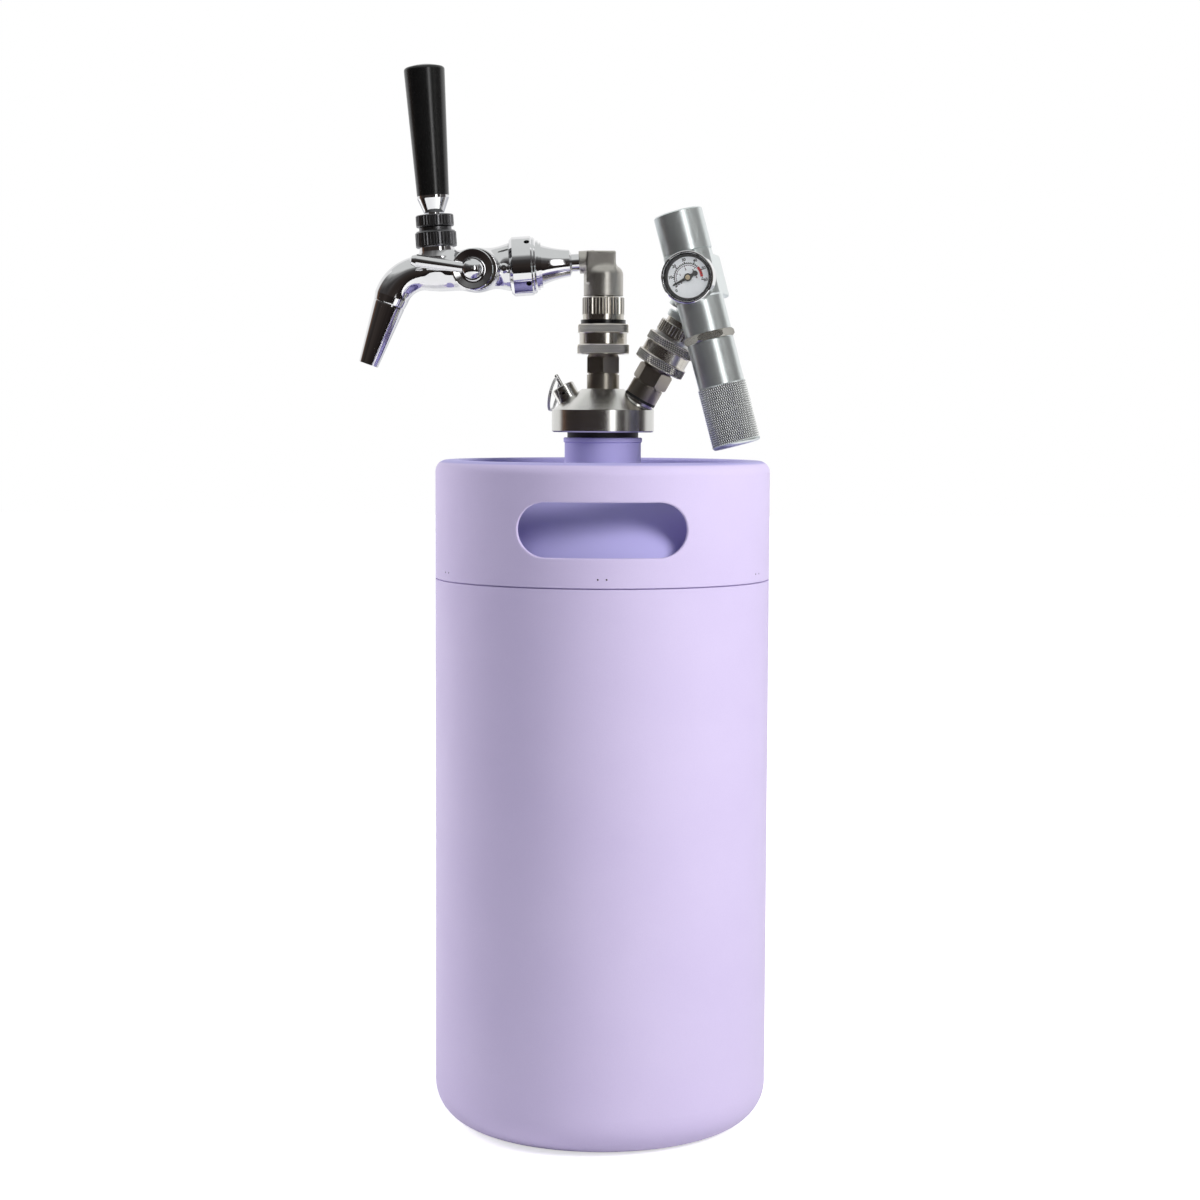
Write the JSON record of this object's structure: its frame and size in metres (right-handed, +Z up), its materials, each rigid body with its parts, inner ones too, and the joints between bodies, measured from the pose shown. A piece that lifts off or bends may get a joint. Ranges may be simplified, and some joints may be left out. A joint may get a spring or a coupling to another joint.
{
  "type": "mini keg beer dispenser",
  "caption": "Insulated mini keg with carry slots, a lever tap on a quick disconnect, and a gas cartridge regulator with gauge and adjusting knob.",
  "frame": {"origin": "centre of the flat base that the keg stands on", "axes": "+Z up along the keg's axis, -X towards the tap's spout, -Y the side with the gauge face and the flow lever"},
  "size_m": [0.2519, 0.205, 0.6477],
  "materials": {
    "lilac_coat": "matte powder coat",
    "vessel_steel": "brushed",
    "lid_steel": "fine turned",
    "fitting_steel": "polished, warm",
    "tap_chrome": "mirror",
    "dark_metal": "dark plated",
    "turned_aluminium": "bright turned",
    "black_rubber": "matte",
    "black_plastic": "satin",
    "white_plastic": "satin",
    "ball_steel": "polished",
    "dial_face": "printed",
    "needle_black": "matte",
    "clear_window": "clear"
  },
  "bodies": {
    "keg": {"outer_shell": "lilac_coat", "inner_vessel": "vessel_steel", "handle_ring": "lilac_coat"},
    "lid_seal": {"lid_seal": "black_rubber"},
    "lid": {"lid": "lid_steel", "liquid_post": "fitting_steel", "gas_post": "fitting_steel", "gas_seat_ring": "black_rubber", "post_rings": "black_rubber", "poppets": "ball_steel", "poppet_springs": "vessel_steel", "dip_tube": "vessel_steel", "gas_tube": "vessel_steel", "liquid_socket": "fitting_steel", "gas_socket": "fitting_steel", "probes": "fitting_steel", "lock_balls": "ball_steel", "stop_rings": "vessel_steel", "collar_springs": "vessel_steel", "liquid_cover_nut": "fitting_steel", "gas_cover_nut": "fitting_steel", "prv_body": "lid_steel", "prv_spring": "vessel_steel"},
    "prv_stem": {"prv_stem": "lid_steel"},
    "prv_ring": {"prv_ring": "vessel_steel"},
    "liquid_collar": {"liquid_collar": "fitting_steel", "marker_ring": "black_plastic"},
    "gas_collar": {"gas_collar": "fitting_steel"},
    "tap": {"elbow_head": "fitting_steel", "shank_adapter": "tap_chrome", "nut_retainer": "tap_chrome", "coupling_nut": "tap_chrome", "shank_gasket": "black_rubber", "faucet_body": "tap_chrome", "stop_pin": "tap_chrome", "spout": "tap_chrome", "ball_seal": "black_rubber", "bonnet": "dark_metal", "flow_washer": "black_plastic"},
    "handle": {"lever": "tap_chrome", "lock_collar": "dark_metal", "ferrule": "tap_chrome", "handle": "black_plastic"},
    "shuttle": {"shuttle": "white_plastic", "shuttle_seal": "black_rubber"},
    "compensator": {"compensator": "white_plastic"},
    "flow_control": {"flow_knob": "tap_chrome"},
    "regulator": {"gas_swivel": "turned_aluminium", "regulator_body": "turned_aluminium", "cartridge_holder": "turned_aluminium", "piercing_pin": "fitting_steel", "regulator_piston": "white_plastic", "range_spring": "vessel_steel", "lock_nut": "turned_aluminium", "gauge_case": "tap_chrome", "gauge_dial": "dial_face", "gauge_lens": "clear_window"},
    "spring_button": {"spring_button": "fitting_steel"},
    "knob": {"adjusting_knob": "turned_aluminium"},
    "needle": {"gauge_needle": "needle_black"}
  },
  "joints": [
    {"name": "lid_lift", "type": "slide", "parent": "keg", "child": "lid_seal", "axis": [0, 0, 1], "range_m": [0, 0.015]},
    {"name": "lid_turn", "type": "hinge", "parent": "lid_seal", "child": "lid", "pos_m": [0, 0, 0.4256], "axis": [0, 0, 1], "range_deg": [0, 1800]},
    {"name": "prv_pull", "type": "slide", "parent": "lid", "child": "prv_stem", "axis": [-0.4891, 0.104, 0.866], "range_m": [0, 0.003], "stiffness_N_per_m": 2500, "springref_m": -0.004},
    {"name": "prv_ring_swing", "type": "hinge", "parent": "prv_stem", "child": "prv_ring", "pos_m": [-0.02812, 0.00598, 0.45893], "axis": [0.2079, 0.9781, 0], "range_deg": [0, 75]},
    {"name": "liquid_collar_slide", "type": "slide", "parent": "lid", "child": "liquid_collar", "axis": [0, 0, 1], "range_m": [0, 0.0035], "stiffness_N_per_m": 2000, "springref_m": -0.004},
    {"name": "tap_swivel", "type": "hinge", "parent": "lid", "child": "tap", "pos_m": [0, 0, 0.5086], "axis": [0, 0, 1], "range_deg": [-90, 90]},
    {"name": "handle_pull", "type": "hinge", "parent": "tap", "child": "handle", "pos_m": [-0.10193, 0, 0.53821], "axis": [0, -1, 0], "range_deg": [0, 18]},
    {"name": "shuttle_slide", "type": "slide", "parent": "tap", "child": "shuttle", "axis": [0.9976, 0, 0.0698], "range_m": [0, 0.00479]},
    {"name": "flow_turn", "type": "hinge", "parent": "tap", "child": "flow_control", "pos_m": [-0.07884, 0, 0.52338], "axis": [0, 1, 0], "range_deg": [0, 75]},
    {"name": "compensator_slide", "type": "slide", "parent": "tap", "child": "compensator", "axis": [0.9976, 0, 0.0698], "range_m": [0, 0.00292]},
    {"name": "gas_collar_slide", "type": "slide", "parent": "lid", "child": "gas_collar", "axis": [0.4891, -0.104, 0.866], "range_m": [0, 0.0035], "stiffness_N_per_m": 2000, "springref_m": -0.004},
    {"name": "regulator_swivel", "type": "hinge", "parent": "lid", "child": "regulator", "pos_m": [0.05184, -0.01102, 0.49748], "axis": [0.4891, -0.104, 0.866], "range_deg": [-60, 60]},
    {"name": "knob_travel", "type": "slide", "parent": "regulator", "child": "spring_button", "axis": [0.2532, -0.0538, -0.9659], "range_m": [0, 0.0045]},
    {"name": "knob_turn", "type": "hinge", "parent": "spring_button", "child": "knob", "pos_m": [0.08012, -0.04157, 0.41836], "axis": [0.2532, -0.0538, -0.9659], "range_deg": [0, 1080]},
    {"name": "gauge_needle_turn", "type": "hinge", "parent": "regulator", "child": "needle", "pos_m": [0.04974, -0.0575, 0.51689], "axis": [0.2079, 0.9781, 0], "range_deg": [0, 213]}
  ],
  "couplings": [
    {"joint": "lid_lift", "follows": "lid_turn", "m_per_rad": 0.00047746},
    {"joint": "shuttle_slide", "follows": "handle_pull", "m_per_rad": 0.01525},
    {"joint": "compensator_slide", "follows": "flow_turn", "m_per_rad": 0.0022323},
    {"joint": "knob_travel", "follows": "knob_turn", "m_per_rad": 0.00023873}
  ]
}
